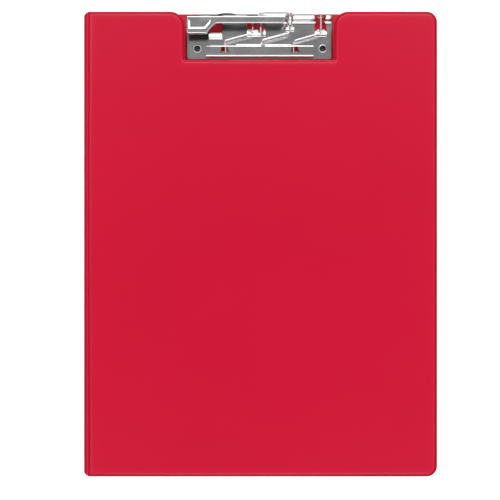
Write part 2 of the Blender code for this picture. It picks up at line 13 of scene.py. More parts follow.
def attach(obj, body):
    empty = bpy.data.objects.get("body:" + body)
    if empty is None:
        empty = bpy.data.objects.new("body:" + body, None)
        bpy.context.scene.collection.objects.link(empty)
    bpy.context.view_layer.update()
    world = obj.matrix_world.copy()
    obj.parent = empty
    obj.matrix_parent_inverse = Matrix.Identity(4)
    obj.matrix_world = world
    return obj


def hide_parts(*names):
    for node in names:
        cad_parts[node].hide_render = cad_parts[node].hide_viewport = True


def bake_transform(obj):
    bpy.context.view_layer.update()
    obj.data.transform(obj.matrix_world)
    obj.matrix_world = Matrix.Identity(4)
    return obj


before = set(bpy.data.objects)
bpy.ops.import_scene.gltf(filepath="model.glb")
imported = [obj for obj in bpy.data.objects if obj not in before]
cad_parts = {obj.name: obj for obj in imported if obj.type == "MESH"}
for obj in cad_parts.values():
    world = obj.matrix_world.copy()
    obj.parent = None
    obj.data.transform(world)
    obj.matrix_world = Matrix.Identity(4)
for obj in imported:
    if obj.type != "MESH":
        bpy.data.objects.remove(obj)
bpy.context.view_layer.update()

MM = 0.001

# Boards
BOARD_LEFT, BOARD_RIGHT = -117.0, 119.9
BOARD_BOTTOM, BOARD_TOP = -158.9, 156.4
BACK_TOP = 157.7
BOARD_T = 3.0
FOIL_T = 0.35
SEAM_W = 0.5
LAYER_GAP = 0.05
CORNER_R = 7.0

# Closed thickness and the spine
FOLDER_T = 18.0
SPINE_T = 2.4
SPINE_OUT_X = -120.0
SPINE_Z0, SPINE_Z1 = 2.9, 15.1
SPINE_END_INSET = 0.7
WEB_T = 0.5

# Notch in the cover round the clip
NOTCH_X0, NOTCH_X1 = -51.3, 49.9
NOTCH_Y = 123.9
NOTCH_INNER_R = 1.0
NOTCH_OUTER_R = 10.0

# Clip base plate
PLATE_X0, PLATE_X1 = -50.4, 49.5
PLATE_Y0 = 126.6
PLATE_T = 0.8
PLATE_Z = BOARD_T + LAYER_GAP
PLATE_TOP = PLATE_Z + PLATE_T
PLATE_CORNER = 1.6
FLANGE_BEND_Y = 150.3
FLANGE_BEND_R = 3.0
FLANGE_LEAN = 80.0
FLANGE_X0 = -41.5
TONGUE_LEAN = 80.0
BARREL_TONGUE_LEAN = 84.0
RIM_Z = 13.2

# Linkage: three parallel cranks turning about Y
PIVOT_Z = 10.0
PIN_Z = 5.9
CRANK_REACH = 18.6
LEVER_PIVOT_X = 20.5
LEFT_PIVOT_X = -5.15
RIGHT_PIVOT_X = 41.55
CRANK_WIRE_R = 0.75
SPRING_WIRE_R = 0.6
RUNNING = 0.1
PIN_END_Y = 130.6

# Clamp bar
BAR_X0, BAR_X1 = -37.2, 36.6
BAR_FRONT_Y, BAR_REAR_Y = 127.2, 135.3
BAR_TOP = 7.7
BAR_FOOT = PLATE_TOP + 0.3
BAR_T = 0.7
LIP_X0, LIP_X1 = -16.4, 21.3

# Lever
LEVER_TOP = 17.8
LEVER_FOOT = 13.8
LEVER_T = 0.7
BARREL_R = 1.7
BARREL_Y0, BARREL_Y1 = 147.9, 154.6

# Semi-tubular rivets
EYELET_X = (-43.4, 43.2)
EYELET_Y = 133.6
EYELET_BORE_R = 2.1
EYELET_TUBE_R = 2.5
EYELET_FLOOR_Z = 1.1
EYELET_STEPS = 64

# Width of the small rounding that gives pressed edges their bright line
SHEET_ROUNDING = 0.12
BAR_ROUNDING = 0.1
WIRE_ROUNDING = 0.2

# Steps in rounded corners and turned shapes
CORNER_STEPS = 12
SMALL_CORNER_STEPS = 8
BEND_STEPS = 14
BORE_STEPS = 32


scene = bpy.context.scene
parts = scene.collection


# ---------------------------------------------------------------- materials

class Nodes:
    """A small hand for wiring one material's nodes."""

    def __init__(self, name):
        self.material = bpy.data.materials.new(name)
        self.material.use_nodes = True
        self.tree = self.material.node_tree
        self.shader = self.tree.nodes["Principled BSDF"]
        self.place = self.add("ShaderNodeTexCoord").outputs["Object"]

    def add(self, kind, **settings):
        node = self.tree.nodes.new(kind)
        for key, value in settings.items():
            setattr(node, key, value)
        return node

    def feed(self, socket, value):
        if isinstance(value, bpy.types.NodeSocket):
            self.tree.links.new(value, socket)
        else:
            socket.default_value = value

    def noise(self, scale, detail=3.0, rough=0.5, stretch=None):
        source = self.place
        if stretch:
            mapping = self.add("ShaderNodeMapping")
            self.feed(mapping.inputs["Vector"], source)
            mapping.inputs["Scale"].default_value = stretch
            source = mapping.outputs["Vector"]
        node = self.add("ShaderNodeTexNoise")
        self.feed(node.inputs["Vector"], source)
        node.inputs["Scale"].default_value = scale
        node.inputs["Detail"].default_value = detail
        node.inputs["Roughness"].default_value = rough
        return node.outputs["Fac"]

    def cells(self, scale):
        node = self.add("ShaderNodeTexVoronoi", feature="F1")
        self.feed(node.inputs["Vector"], self.place)
        node.inputs["Scale"].default_value = scale
        return node.outputs["Distance"]

    def ranged(self, value, low, high, out_low, out_high):
        node = self.add("ShaderNodeMapRange")
        self.feed(node.inputs["Value"], value)
        limits = {"From Min": low, "From Max": high, "To Min": out_low, "To Max": out_high}
        for name, number in limits.items():
            node.inputs[name].default_value = number
        return node.outputs["Result"]

    def maths(self, operation, a, b):
        node = self.add("ShaderNodeMath", operation=operation)
        self.feed(node.inputs[0], a)
        self.feed(node.inputs[1], b)
        return node.outputs[0]

    def blend(self, factor, a, b):
        node = self.add("ShaderNodeMix", data_type="RGBA")
        self.feed(node.inputs["Factor"], factor)
        self.feed(node.inputs["A"], a)
        self.feed(node.inputs["B"], b)
        return node.outputs["Result"]

    def bump(self, height, strength, distance, under=None):
        node = self.add("ShaderNodeBump")
        self.feed(node.inputs["Height"], height)
        node.inputs["Strength"].default_value = strength
        node.inputs["Distance"].default_value = distance
        if under is not None:
            self.feed(node.inputs["Normal"], under)
        return node.outputs["Normal"]

    def set(self, name, value):
        self.feed(self.shader.inputs[name], value)


def rgb(r, g, b):
    return (r, g, b, 1.0)


def vinyl(name, deep, bright, rough, grain):
    """Calendered vinyl foil: an even colour with faint clouding, a fine grain and a soft sheen."""
    m = Nodes(name)
    cloud = m.noise(9.0, 4.0, 0.55)
    speck = m.noise(1400.0, 2.0, 0.6)
    clouding = m.ranged(cloud, 0.3, 0.7, 0.0, 0.75)
    tone = m.maths("ADD", clouding, m.ranged(speck, 0.3, 0.7, 0.0, 0.25))
    m.set("Base Color", m.blend(tone, rgb(*deep), rgb(*bright)))
    rubbed = m.noise(60.0, 5.0, 0.65)
    m.set("Roughness", m.ranged(rubbed, 0.3, 0.75, rough - 0.008, rough + 0.012))
    m.set("IOR", 1.33)
    pits = m.bump(m.cells(1700.0), grain, 0.00004)
    waves = m.bump(m.noise(28.0, 2.0, 0.5), 0.05, 0.0004, pits)
    m.set("Normal", waves)
    return m.material


def nickel(name, tone, rough, along):
    """Nickel plate over rolled steel: faint streaks along the strip, small pits and haze."""
    m = Nodes(name)
    streaks = m.noise(260.0, 3.0, 0.6, along)
    haze = m.noise(45.0, 4.0, 0.6)
    pits = m.noise(900.0, 2.0, 0.5)
    dark = tuple(c * 0.9 for c in tone)
    m.set("Base Color", m.blend(m.ranged(haze, 0.3, 0.7, 0.0, 1.0), rgb(*dark), rgb(*tone)))
    m.set("Metallic", 1.0)
    rolled = m.ranged(streaks, 0.3, 0.7, -0.03, 0.03)
    m.set("Roughness", m.maths("ADD", rolled, m.ranged(haze, 0.3, 0.7, rough - 0.03, rough + 0.04)))
    fine = m.bump(pits, 0.12, 0.00003)
    m.set("Normal", m.bump(streaks, 0.06, 0.00004, fine))
    return m.material


def board_stock(name):
    """Raw greyboard: grey-brown pulp with darker and lighter fibres."""
    m = Nodes(name)
    pulp = m.noise(700.0, 5.0, 0.7)
    fibre = m.noise(320.0, 3.0, 0.6, (1.0, 6.0, 1.0))
    tone = m.maths("MULTIPLY", pulp, m.ranged(fibre, 0.3, 0.7, 0.7, 1.3))
    spread = m.ranged(tone, 0.25, 0.75, 0.0, 1.0)
    m.set("Base Color", m.blend(spread, rgb(0.20, 0.18, 0.15), rgb(0.46, 0.42, 0.36)))
    m.set("Roughness", m.ranged(pulp, 0.2, 0.8, 0.85, 0.98))
    m.set("Normal", m.bump(pulp, 0.4, 0.0002))
    return m.material


def pale_floor(name):
    """A matt pale floor, evenly lit."""
    m = Nodes(name)
    m.set("Base Color", m.blend(m.noise(3.0, 2.0), rgb(0.50, 0.50, 0.50), rgb(0.53, 0.53, 0.53)))
    m.set("Emission Color", rgb(1, 1, 1))
    m.set("Emission Strength", FLOOR_GLOW)
    m.set("Roughness", m.ranged(m.noise(40.0), 0.3, 0.7, 0.75, 0.85))
    return m.material


FLOOR_GLOW = 0.80
RED_FOIL = vinyl("red_foil_look", (0.665, 0.0045, 0.036), (0.695, 0.0052, 0.040), 0.26, 0.10)
RED_LINING = vinyl("red_lining_look", (0.60, 0.004, 0.020), (0.68, 0.005, 0.024), 0.46, 0.35)
GREYBOARD = board_stock("greyboard_look")
NICKEL_SHEET = nickel("nickel_sheet_look", (0.88, 0.88, 0.88), 0.14, (1.0, 14.0, 14.0))
NICKEL_WIRE = nickel("nickel_wire_look", (0.86, 0.855, 0.85), 0.12, (10.0, 10.0, 1.0))
NICKEL_RIVET = nickel("nickel_rivet_look", (0.88, 0.875, 0.87), 0.14, (6.0, 6.0, 6.0))
# Near-black steel: painted shade on the lever's underside and rear wall, and a painted dark
# reflection on the ear's tip.
SHADE_PAINT_STEEL = nickel("shade_paint_steel_look", (0.10, 0.098, 0.10), 0.42, (3.0, 9.0, 9.0))
# Dark grey steel: painted shade inside the rivet bores.
SHADE_PAINT_BORE = nickel("shade_paint_bore_look", (0.13, 0.14, 0.145), 0.50, (6.0, 6.0, 6.0))


# ---------------------------------------------------------------- mesh tools

def finish(mesh, name, paint, smooth_angle=None):
    obj = bpy.data.objects.new(name, mesh)
    parts.objects.link(obj)
    if paint:
        mesh.materials.append(paint)
    if smooth_angle:
        mesh.shade_smooth()
        mesh.set_sharp_from_angle(angle=math.radians(smooth_angle))
    return obj


def combine(target, others, operation):
    """Booleans baked in turn. The tools are removed afterwards."""
    for other in others:
        step = target.modifiers.new(other.name, "BOOLEAN")
        step.operation = operation
        step.solver = "EXACT"
        step.object = other
    graph = bpy.context.evaluated_depsgraph_get()
    baked = bpy.data.meshes.new_from_object(target.evaluated_get(graph))
    target.modifiers.clear()
    target.data = baked
    for other in others:
        bpy.data.objects.remove(other, do_unlink=True)
    return target


def paint_shade(target, paint, inside, split_z=None):
    """Paints the faces that inside() picks with a second, darker material that stands in for shade,
    with an optional level cut.
    """
    target.data.materials.append(paint)
    if split_z:
        bm = bmesh.new()
        bm.from_mesh(target.data)
        everything = bm.verts[:] + bm.edges[:] + bm.faces[:]
        level_cut = {"plane_co": (0, 0, split_z * MM), "plane_no": (0, 0, 1)}
        bmesh.ops.bisect_plane(bm, geom=everything, **level_cut)
        bm.to_mesh(target.data)
        bm.free()
    for face in target.data.polygons:
        if inside(face.center / MM, face.normal):
            face.material_index = 1
    return target


def soften(target, width, paint, angle=28):
    """Rounds every sharp edge a little, so that it catches the light as a pressed edge does."""
    bm = bmesh.new()
    bm.from_mesh(target.data)
    bmesh.ops.remove_doubles(bm, verts=bm.verts, dist=2e-6)
    bmesh.ops.dissolve_degenerate(bm, edges=bm.edges, dist=2e-6)
    bm.to_mesh(target.data)
    bm.free()
    rounding = target.modifiers.new("rounding", "BEVEL")
    rounding.width = width * MM
    rounding.segments = 2
    rounding.limit_method = "ANGLE"
    rounding.angle_limit = math.radians(angle)
    rounding.use_clamp_overlap = True
    rounding.harden_normals = True
    graph = bpy.context.evaluated_depsgraph_get()
    baked = bpy.data.meshes.new_from_object(target.evaluated_get(graph))
    target.modifiers.clear()
    target.data = baked
    baked.materials.clear()
    baked.materials.append(paint)
    return target


def mesh_from(name, bm):
    bmesh.ops.recalc_face_normals(bm, faces=bm.faces)
    mesh = bpy.data.meshes.new(name)
    bm.to_mesh(mesh)
    bm.free()
    return mesh


def outline(corners, steps):
    """Points and inward normals round a polygon given anticlockwise as (x, y, corner radius)."""
    found = []
    count = len(corners)
    for i, (x, y, r) in enumerate(corners):
        here = Vector((x, y))
        before = Vector(corners[i - 1][:2])
        after = Vector(corners[(i + 1) % count][:2])
        came = (here - before).normalized()
        goes = (after - here).normalized()
        n0 = Vector((-came.y, came.x))
        n1 = Vector((-goes.y, goes.x))
        turn = came.x * goes.y - came.y * goes.x
        if r == 0 or abs(turn) < 1e-6:
            found.append((here, (n0 + n1) / (1 + n0.dot(n1))))
            continue
        half = math.acos(max(-1.0, min(1.0, came.dot(goes)))) / 2
        side = 1 if turn > 0 else -1
        centre = here - came * (r * math.tan(half)) + n0 * (r * side)
        start = -n0 * side
        for k in range(steps + 1):
            angle = side * 2 * half * k / steps
            arm = Matrix.Rotation(angle, 2) @ start
            found.append((centre + arm * r, -arm * side))
    return found


def ring(shape, inset, height, place):
    return [place(p.x + n.x * inset, p.y + n.y * inset, height) for p, n in shape]


def stacked(name, rings, paint, smooth_angle=None):
    """One closed solid through successive rings of points, capped at both ends."""
    bm = bmesh.new()
    loops = [[bm.verts.new(Vector(p) * MM) for p in points] for points in rings]
    for low, high in zip(loops, loops[1:]):
        for i in range(len(low)):
            j = (i + 1) % len(low)
            bm.faces.new((low[i], low[j], high[j], high[i]))
    bm.faces.new(loops[0])
    bm.faces.new(loops[-1])
    return finish(mesh_from(name, bm), name, paint, smooth_angle)


def prism(name, polygon, axis, start, end, paint=None):
    """A polygon extruded along an axis. The polygon is (y, z), (x, z) or (x, y)."""
    place = {
        "X": lambda a, b, t: (t, a, b),
        "Y": lambda a, b, t: (a, t, b),
        "Z": lambda a, b, t: (a, b, t),
    }[axis]
    rings = [[place(a, b, t) for a, b in polygon] for t in (start, end)]
    return stacked(name, rings, paint)


def lathe(name, profile, origin, axis, steps):
    """A closed (radius, height) profile turned about an axis through origin."""
    turn = Vector((0, 0, 1)).rotation_difference(Vector(axis)).to_matrix()
    bm = bmesh.new()
    rows = []
    for k in range(steps):
        a = 2 * math.pi * k / steps
        row = [turn @ Vector((r * math.cos(a), r * math.sin(a), h)) for r, h in profile]
        rows.append([bm.verts.new((Vector(origin) + p) * MM) for p in row])
    for k in range(steps):
        this, following = rows[k], rows[(k + 1) % steps]
        for i in range(len(profile)):
            j = (i + 1) % len(profile)
            bm.faces.new((this[i], this[j], following[j], following[i]))
    return finish(mesh_from(name, bm), name, None, 40)


def rod(name, radius, start, end, steps=24):
    """A solid cylinder between two points."""
    start, end = Vector(start), Vector(end)
    turn = Vector((0, 0, 1)).rotation_difference((end - start).normalized()).to_matrix()
    rings = []
    for base in (start, end):
        points = []
        for k in range(steps):
            a = 2 * math.pi * k / steps
            points.append(base + turn @ Vector((radius * math.cos(a), radius * math.sin(a), 0)))
        rings.append(points)
    return stacked(name, rings, None, 40)


def rounded_path(points, bends):
    """A polyline with each inner corner replaced by an arc of its bend radius."""
    points = [Vector(p) for p in points]
    path = [points[0]]
    for before, here, after, bend in zip(points, points[1:], points[2:], bends):
        came = (here - before).normalized()
        goes = (after - here).normalized()
        angle = came.angle(goes)
        cut = bend * math.tan(angle / 2)
        axis = came.cross(goes).normalized()
        inward = axis.cross(came)
        centre = here - came * cut + inward * bend
        for k in range(BEND_STEPS + 1):
            turned = Matrix.Rotation(angle * k / BEND_STEPS, 3, axis) @ (-inward * bend)
            path.append(centre + turned)
    path.append(points[-1])
    return path


def wire(name, points, radius, bends, paint):
    """A round wire along a bent path, with one bend radius for each inner corner."""
    curve = bpy.data.curves.new(name, "CURVE")
    curve.dimensions = "3D"
    curve.bevel_depth = radius * MM
    curve.bevel_resolution = 6
    curve.use_fill_caps = True
    path = rounded_path(points, bends)
    spline = curve.splines.new("POLY")
    spline.points.add(len(path) - 1)
    for slot, p in zip(spline.points, path):
        slot.co = (*(p * MM), 1.0)
    made = bpy.data.objects.new(name + "_curve", curve)
    parts.objects.link(made)
    graph = bpy.context.evaluated_depsgraph_get()
    bm = bmesh.new()
    bm.from_mesh(bpy.data.meshes.new_from_object(made.evaluated_get(graph)))
    bmesh.ops.remove_doubles(bm, verts=bm.verts, dist=1e-6)
    bpy.data.objects.remove(made, do_unlink=True)
    return finish(mesh_from(name, bm), name, paint, 50)


# ---------------------------------------------------------------- boards

def edge_profile(thickness, crown):
    """Outer face of a welded board from its seam up to the flat, as (inset, height) rows."""
    seam_low = FOIL_T + LAYER_GAP
    seam_top = seam_low + FOIL_T
    roll = thickness - seam_top
    rows = [(0.06, seam_low), (0.0, seam_low + 0.08), (0.0, seam_top - 0.1), (0.08, seam_top)]
    rows += [(SEAM_W - 0.22, seam_top), (SEAM_W - 0.08, seam_top - 0.06), (SEAM_W, seam_top)]
    steps = 9
    for k in range(1, steps + 1):
        a = math.pi / 2 * k / steps
        reach = 1 - math.cos(a) ** 1.25
        rows.append((SEAM_W + roll * reach, seam_top + (roll - crown) * math.sin(a)))
    flat = SEAM_W + roll
    rows += [(flat + 0.9, thickness - crown * 0.55), (flat + 2.1, thickness - crown * 0.18)]
    rows += [(flat + 3.6, thickness)]
    return rows


def foil_board(name, shape, place, thickness, crown):
    """The formed outer foil of one board, with its seam, rolled edge and slightly crowned face."""
    outside = edge_profile(thickness, crown)
    roll = thickness - 2 * FOIL_T - LAYER_GAP
    flat = SEAM_W + roll
    under = [(SEAM_W + FOIL_T, FOIL_T + LAYER_GAP)]
    floor = 2 * FOIL_T + LAYER_GAP
    hollow = roll - FOIL_T - crown
    steps = 4
    for k in range(steps + 1):
        a = math.pi / 2 * k / steps
        under.append((flat - (roll - FOIL_T) * math.cos(a), floor + hollow * math.sin(a)))
    rows = outside[::-1] + under
    return stacked(name, [ring(shape, d, h, place) for d, h in rows], RED_FOIL, 55)


def lining_board(name, shape, place):
    """The thin lining foil on the inner face of one board."""
    rows = [(0.12, 0.0), (0.0, 0.1), (0.0, FOIL_T - 0.04), (0.05, FOIL_T)]
    return stacked(name, [ring(shape, d, h, place) for d, h in rows], RED_LINING, 25)


def settle(obj, node, body):
    """Puts a piece in the frame in place of its CAD node."""
    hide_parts(node)
    if body:
        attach(obj, body)
    return obj


back_shape = outline([
    (BOARD_LEFT, BOARD_BOTTOM, 0),
    (BOARD_RIGHT, BOARD_BOTTOM, CORNER_R),
    (BOARD_RIGHT, BACK_TOP, CORNER_R),
    (BOARD_LEFT, BACK_TOP, 0),
], CORNER_STEPS)
cover_shape = outline([
    (BOARD_LEFT, BOARD_BOTTOM, 0),
    (BOARD_RIGHT, BOARD_BOTTOM, CORNER_R),
    (BOARD_RIGHT, BOARD_TOP, CORNER_R),
    (NOTCH_X1, BOARD_TOP, NOTCH_OUTER_R),
    (NOTCH_X1, NOTCH_Y, NOTCH_INNER_R),
    (NOTCH_X0, NOTCH_Y, NOTCH_INNER_R),
    (NOTCH_X0, BOARD_TOP, NOTCH_OUTER_R),
    (BOARD_LEFT, BOARD_TOP, 0),
], CORNER_STEPS)
spine_shape = outline([
    (BOARD_BOTTOM + SPINE_END_INSET, SPINE_Z0, 0),
    (BOARD_TOP - SPINE_END_INSET, SPINE_Z0, 0),
    (BOARD_TOP - SPINE_END_INSET, SPINE_Z1, 0),
    (BOARD_BOTTOM + SPINE_END_INSET, SPINE_Z1, 0),
], CORNER_STEPS)
FACE_CROWN = 0.1
BOARDS = {
    "back": (back_shape, lambda a, b, h: (a, b, BOARD_T - h), BOARD_T, FACE_CROWN),
    "cover": (
        cover_shape, lambda a, b, h: (a, b, FOLDER_T - BOARD_T + h), BOARD_T, FACE_CROWN
    ),
    "spine": (spine_shape, lambda a, b, h: (SPINE_OUT_X + SPINE_T - h, a, b), SPINE_T, 0.0),
}
for prefix, (shape, place, thickness, crown) in BOARDS.items():
    foil = foil_board(prefix + "_foil_skin", shape, place, thickness, crown)
    lining = lining_board(prefix + "_lining_skin", shape, place)
    if prefix == "back":
        for obj, extra in ((foil, 0.8), (lining, RUNNING)):
            holes = []
            for i, x in enumerate(EYELET_X):
                ends = (x, EYELET_Y, -1), (x, EYELET_Y, 5)
                holes.append(rod(f"{obj.name}_hole_{i}", EYELET_TUBE_R + extra, *ends, 40))
            combine(obj, holes, "DIFFERENCE")
            obj.data.shade_smooth()
            obj.data.set_sharp_from_angle(angle=math.radians(50))
    settle(foil, prefix + "_foil", prefix)
    settle(lining, prefix + "_lining", prefix)


def hinge_web(name, mirrored):
    """The welded foil strip that bends between the spine and a board, with its weld lines."""
    run = [(-117.08, 2.44), (-117.25, 2.37), (-117.45, 2.27), (-117.7, 2.2), (-117.9, 2.24)]
    run += [(-118.05, 2.38), (-118.12, 2.6), (-118.14, 2.82)]
    run = [Vector(p) for p in run]
    left, right = [], []
    for i, p in enumerate(run):
        along = (run[min(i + 1, len(run) - 1)] - run[max(i - 1, 0)]).normalized()
        pressed = 0.8 if i % 2 else 1.0
        across = Vector((-along.y, along.x)) * WEB_T / 2 * pressed
        left.append(p + across)
        right.append(p - across)
    polygon = [(p.x, p.y) for p in left + right[::-1]]
    if mirrored:
        polygon = [(x, FOLDER_T - z) for x, z in polygon]
    stations = 40
    y0, y1 = BOARD_BOTTOM + SPINE_END_INSET, BOARD_TOP - SPINE_END_INSET
    rows = [y0 + (y1 - y0) * k / stations for k in range(stations + 1)]
    return stacked(name, [[(x, y, z) for x, z in polygon] for y in rows], RED_FOIL, 60)


web_back = settle(hinge_web("hinge_web_back_skin", False), "hinge_web_back", None)
web_cover = settle(hinge_web("hinge_web_cover_skin", True), "hinge_web_cover", None)


# ---------------------------------------------------------------- clip: base plate

def bent_strip(root_y, radius, angle, rim_z, start_y, square=False):
    """Profile of a plate strip that runs flat towards +Y and then bends up, as (y, z)."""
    steps = 12
    turns = [math.radians(angle) * k / steps for k in range(steps + 1)]
    centre_z = PLATE_Z + PLATE_T + radius
    lean = Vector((math.cos(turns[-1]), math.sin(turns[-1])))
    wide = radius + PLATE_T
    inner, outer = [
        [Vector((root_y + r * math.sin(t), centre_z - r * math.cos(t))) for t in turns]
        for r in (radius, wide)
    ]
    rise = (rim_z - inner[-1].y) / lean.y
    inner.append(inner[-1] + lean * rise)
    outer.append(outer[-1] + lean * (rise if square else (rim_z - outer[-1].y) / lean.y))
    run = [Vector((start_y, PLATE_Z))] + outer + inner[::-1]
    run.append(Vector((start_y, PLATE_Z + PLATE_T)))
    return [(p.x, p.y) for p in run]


def arc_points(cx, cz, r, a0, a1, steps):
    """Points on an arc in a plane, between two angles in degrees."""
    turn = [math.radians(a0 + (a1 - a0) * k / steps) for k in range(steps + 1)]
    return [(cx + r * math.cos(t), cz + r * math.sin(t)) for t in turn]


def box(name, low, high):
    """An upright box between two opposite corners."""
    polygon = [(low[0], low[1]), (high[0], low[1]), (high[0], high[1]), (low[0], high[1])]
    return prism(name, polygon, "Z", low[2], high[2])


def tab(name, x0, x1, root_y, radius, lean, rim_z, tip_r):
    """A tongue bent up out of the plate, with a rounded tip."""
    polygon = bent_strip(root_y, radius, lean, rim_z, root_y - 1.0)
    tongue = prism(name, polygon, "X", x0, x1)
    above = [(x0 - 1, rim_z + 2), (x0 - 1, rim_z - tip_r)]
    above += arc_points(x0 + tip_r, rim_z - tip_r, tip_r, 180, 90, 8)
    above += arc_points(x1 - tip_r, rim_z - tip_r, tip_r, 90, 0, 8)
    above += [(x1 + 1, rim_z - tip_r), (x1 + 1, rim_z + 2)]
    return combine(tongue, [prism(name + "_tip", above, "Y", root_y - 2, root_y + 8)], "DIFFERENCE")


FLANGE_BLANK_Z = 16.0
base_plate = prism(
    "base_plate_skin",
    bent_strip(FLANGE_BEND_Y, FLANGE_BEND_R, FLANGE_LEAN, FLANGE_BLANK_Z, PLATE_Y0),
    "X",
    PLATE_X0,
    PLATE_X1,
    NICKEL_SHEET,
)

EAR_X, EAR_HALF, EAR_H = -22.7, 6.0, 2.0
GAP_X0, GAP_X1, GAP_Z, GAP_R = -1.7, 22.6, 3.9, 1.2
FLAP_LEAN, FLAP_END_Z = 40.0, 8.5
NOTCH_X, NOTCH_R, NOTCH_Z = 41.2, 3.75, 12.4
ear_r = (EAR_HALF ** 2 + EAR_H ** 2) / (2 * EAR_H)
ear_a = math.degrees(math.asin(EAR_HALF / ear_r))
notch_a = math.degrees(math.asin((RIM_Z - NOTCH_Z) / NOTCH_R))
rim = [(-60, 30), (-60, RIM_Z)]
rim += arc_points(EAR_X, RIM_Z + EAR_H - ear_r, ear_r, 90 + ear_a, 90 - ear_a, 24)
rim += [(GAP_X0, RIM_Z)] + arc_points(GAP_X0 + GAP_R, GAP_Z + GAP_R, GAP_R, 180, 270, 8)
rim += arc_points(GAP_X1 - GAP_R, GAP_Z + GAP_R, GAP_R, 270, 360, 8) + [(GAP_X1, RIM_Z)]
rim += arc_points(NOTCH_X, NOTCH_Z, NOTCH_R, 180 - notch_a, 360 + notch_a, 28)
rim += [(60, RIM_Z), (60, 30)]
plate_cuts = [
    prism("rim_line", rim, "Y", FLANGE_BEND_Y - 1, FLANGE_BEND_Y + 12),
    prism(
        "flange_end",
        [(-60, FLANGE_BEND_Y - 0.4), (FLANGE_X0 - 1.5, FLANGE_BEND_Y - 0.4)]
        + arc_points(FLANGE_X0 - 1.5, FLANGE_BEND_Y + 1.1, 1.5, 270, 360, 8)
        + [(FLANGE_X0, 170), (-60, 170)],
        "Z",
        0,
        30,
    ),
]
for x, name in ((PLATE_X0, "left"), (PLATE_X1, "right")):
    side = 1 if name == "left" else -1
    nib = [(x - side, PLATE_Y0 - 1), (x + side * PLATE_CORNER, PLATE_Y0 - 1)]
    bow = arc_points(0, 0, PLATE_CORNER, 270, 180, 10)
    nib += [(x + side * (PLATE_CORNER + a), PLATE_Y0 + PLATE_CORNER + b) for a, b in bow]
    nib += [(x - side, PLATE_Y0 + PLATE_CORNER)]
    plate_cuts.append(prism("plate_corner_" + name, nib, "Z", 0, 6))

# The windows, and the tongues bent up from them as (left, right, root)
WINDOW_TOP = 152.3
WINDOW_EDGE = 0.05
TAB0 = (-35.3, -26.1, 139.9)
TAB1 = (-9.1, 3.7, 141.7)
TAB2 = (17.6, 23.3, 145.1)
TAB3 = (37.4, 45.8, 141.7)
for i, (x0, x1, root) in enumerate((TAB0, TAB1)):
    low, high = (x0 + WINDOW_EDGE, root, 0), (x1 - WINDOW_EDGE, WINDOW_TOP, 7.5)
    plate_cuts.append(box(f"window_{i}", low, high))
low, high = (TAB2[0] + WINDOW_EDGE, TAB2[2], 0), (TAB2[1] - WINDOW_EDGE, 149.2, 5.5)
plate_cuts.append(box("window_2", low, high))
ARCH_TOP = 153.2
arch_r = (TAB3[1] - TAB3[0]) / 2 - WINDOW_EDGE
arch = [(TAB3[0] + WINDOW_EDGE, TAB3[2]), (TAB3[1] - WINDOW_EDGE, TAB3[2])]
arch += arc_points((TAB3[0] + TAB3[1]) / 2, ARCH_TOP - arch_r, arch_r, 0, 180, 24)
plate_cuts.append(prism("window_3", arch, "Z", 0, 7.5))

HOOKS = {
    "left": LEFT_PIVOT_X - CRANK_REACH,
    "crank": LEVER_PIVOT_X - CRANK_REACH,
    "right": RIGHT_PIVOT_X - CRANK_REACH,
}
SLOT_Y0, SLOT_Y1, SLOT_HALF = 131.9, 135.4, 2.6
SLOT_OFFSET = {"left": -0.8, "right": 0.9}
ELBOW_OFFSET = {"left": -0.8, "crank": -1.0, "right": 0.5}
for name in ("left", "right"):
    x = HOOKS[name] + SLOT_OFFSET[name]
    low, high = (x - SLOT_HALF, SLOT_Y0, 0), (x + SLOT_HALF, SLOT_Y1, 6)
    plate_cuts.append(box("plate_slot_" + name, low, high))
for x, name in zip(EYELET_X, ("left", "right")):
    plate_cuts.append(rod(
        "plate_hole_" + name, EYELET_TUBE_R + RUNNING, (x, EYELET_Y, 0), (x, EYELET_Y, 6)
    ))
combine(base_plate, plate_cuts, "DIFFERENCE")

tongues = [
    tab("tongue_0", *TAB0, 1.2, TONGUE_LEAN, 11.8, 1.2),
    tab("tongue_1", *TAB1, 1.2, TONGUE_LEAN, 12.6, 1.0),
    tab("tongue_2", *TAB2, 1.0, BARREL_TONGUE_LEAN, 12.7, 2.4),
    tab("tongue_3", *TAB3, 1.2, TONGUE_LEAN, 12.6, 3.2),
]
combine(base_plate, tongues, "UNION")
flap = bent_strip(FLANGE_BEND_Y, FLANGE_BEND_R, FLAP_LEAN, FLAP_END_Z, FLANGE_BEND_Y - 1, True)
FLAP_GAP = 0.4
combine(base_plate, [prism("flap", flap, "X", GAP_X0 + FLAP_GAP, GAP_X1 - FLAP_GAP)], "UNION")

# Where the three wires turn, and the seat of the lever wire's free end
BORE_START_Y = 142
pivot_bores = []
for name, x, wire_r, end_y in (
    ("left", LEFT_PIVOT_X, SPRING_WIRE_R, 158),
    ("lever", LEVER_PIVOT_X, CRANK_WIRE_R, 150),
    ("right", RIGHT_PIVOT_X, SPRING_WIRE_R, 150),
):
    ends = (x, BORE_START_Y, PIVOT_Z), (x, end_y, PIVOT_Z)
    pivot_bores.append(rod("bore_" + name, wire_r + RUNNING, *ends, BORE_STEPS))
SEAT_X, SEAT_HALF, SEAT_Z = 0.3, 1.7, 8.6
seat = box("crank_seat", (SEAT_X - SEAT_HALF, 143, SEAT_Z), (SEAT_X + SEAT_HALF, 148, 20))
combine(base_plate, pivot_bores + [seat], "DIFFERENCE")


def on_ear_tip(at, facing):
    """The tip of the ear, above the flange's rim."""
    return at.z > RIM_Z + 0.05 and at.x < GAP_X0


soften(base_plate, SHEET_ROUNDING, NICKEL_SHEET)
# The ear's tip gets the near-black steel: a painted dark reflection.
paint_shade(base_plate, SHADE_PAINT_STEEL, on_ear_tip, RIM_Z)
settle(base_plate, "base_plate", "back")


# ---------------------------------------------------------------- clip: clamp bar

